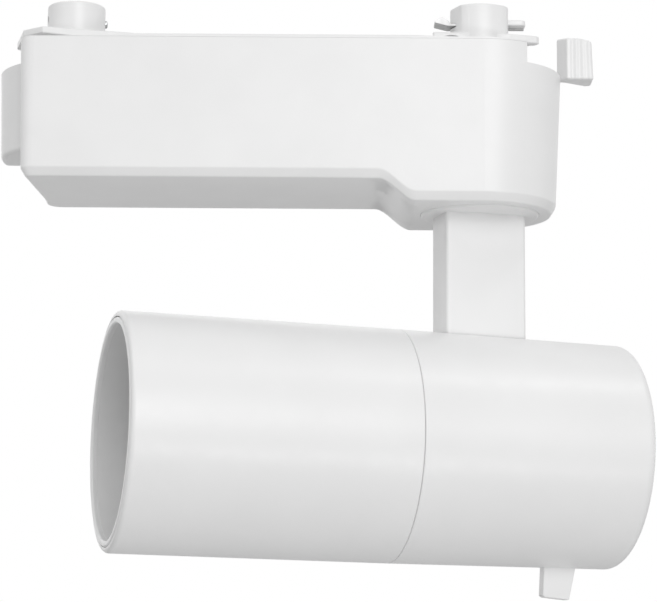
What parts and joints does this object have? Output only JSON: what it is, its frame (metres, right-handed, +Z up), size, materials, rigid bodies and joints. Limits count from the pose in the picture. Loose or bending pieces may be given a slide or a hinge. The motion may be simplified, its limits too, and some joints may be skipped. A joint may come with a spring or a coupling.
{
  "type": "track spotlight",
  "caption": "White track spotlight: adaptor box with turning track posts and levers, a panning stem and a tilting cylinder head with recessed optics.",
  "frame": {"origin": "middle of the adaptor's flat top, midway between the two track posts", "axes": "+X along the adaptor to the contact post, +Y to the adaptor's back, +Z up into the track"},
  "size_m": [0.1533, 0.0831, 0.1405],
  "materials": {
    "white_plastic": "satin",
    "white_coat": "satin",
    "steel": "satin",
    "contact_metal": "satin",
    "copper_winding": "satin",
    "brass": "satin",
    "cast_aluminium": "matte",
    "mirror_aluminium": "polished",
    "clear_glass": "polished",
    "grey_silicone": "matte",
    "wire_sleeve": "matte",
    "circuit_board": "satin",
    "driver_dark": "satin",
    "led_ceramic": "matte",
    "led_phosphor": "satin"
  },
  "bodies": {
    "adaptor": {"adaptor_housing": "white_plastic", "adaptor_lid": "white_plastic", "lid_screw_1": "steel", "lid_screw_2": "steel", "lid_screw_3": "steel", "lid_screw_4": "steel", "driver_board": "circuit_board", "driver_transformer": "driver_dark", "driver_capacitor_1": "driver_dark", "driver_capacitor_2": "driver_dark", "driver_choke": "copper_winding", "board_screw_1": "steel", "board_screw_2": "steel", "live_lead": "wire_sleeve", "neutral_lead": "wire_sleeve", "output_lead": "wire_sleeve"},
    "contact_cam": {"contact_post": "white_plastic", "live_contact": "contact_metal", "neutral_contact": "contact_metal", "contact_post_clip": "steel", "contact_lever": "white_plastic", "contact_lever_screw": "steel"},
    "latch": {"latch_post": "white_plastic", "latch_pin": "steel", "latch_post_clip": "steel", "latch_lever": "white_plastic", "latch_lever_screw": "steel"},
    "stem": {"stem": "white_coat", "stem_cable": "wire_sleeve", "pan_collar": "white_plastic", "pan_bush": "brass", "pan_washer": "steel", "pan_nut": "brass"},
    "head": {"tilt_pin": "steel", "tilt_nut": "steel", "tilt_washer_1": "cast_aluminium", "tilt_washer_2": "cast_aluminium", "tilt_yoke": "cast_aluminium", "yoke_screw_1": "steel", "yoke_screw_2": "steel", "rear_housing": "white_coat", "heat_sink": "cast_aluminium", "heat_sink_screw_1": "steel", "heat_sink_screw_2": "steel", "thermal_pad": "grey_silicone", "led_board": "led_ceramic", "led_emitter": "led_phosphor", "led_holder": "white_plastic", "holder_screw_1": "steel", "holder_screw_2": "steel", "led_lead": "wire_sleeve", "reflector": "mirror_aluminium", "cover_glass": "clear_glass", "glass_gasket": "grey_silicone", "glare_baffle": "white_plastic", "front_ring": "white_plastic", "front_barrel": "white_coat", "aim_tab": "white_coat", "aim_tab_screw": "steel"}
  },
  "joints": [
    {"name": "contact_lever_turn", "type": "hinge", "parent": "adaptor", "child": "contact_cam", "pos_m": [0.04845, 0, 0], "axis": [0, 0, 1], "range_deg": [0, 90]},
    {"name": "latch_turn", "type": "hinge", "parent": "adaptor", "child": "latch", "pos_m": [-0.04845, 0, 0], "axis": [0, 0, 1], "range_deg": [-30, 60]},
    {"name": "stem_pan", "type": "hinge", "parent": "adaptor", "child": "stem", "pos_m": [0.04845, 0, -0.039], "axis": [0, 0, 1], "range_deg": [-185, 155]},
    {"name": "head_tilt", "type": "hinge", "parent": "stem", "child": "head", "pos_m": [0.04845, 0, -0.09485], "axis": [0.2588, -0.9659, 0], "range_deg": [0, 90]}
  ]
}
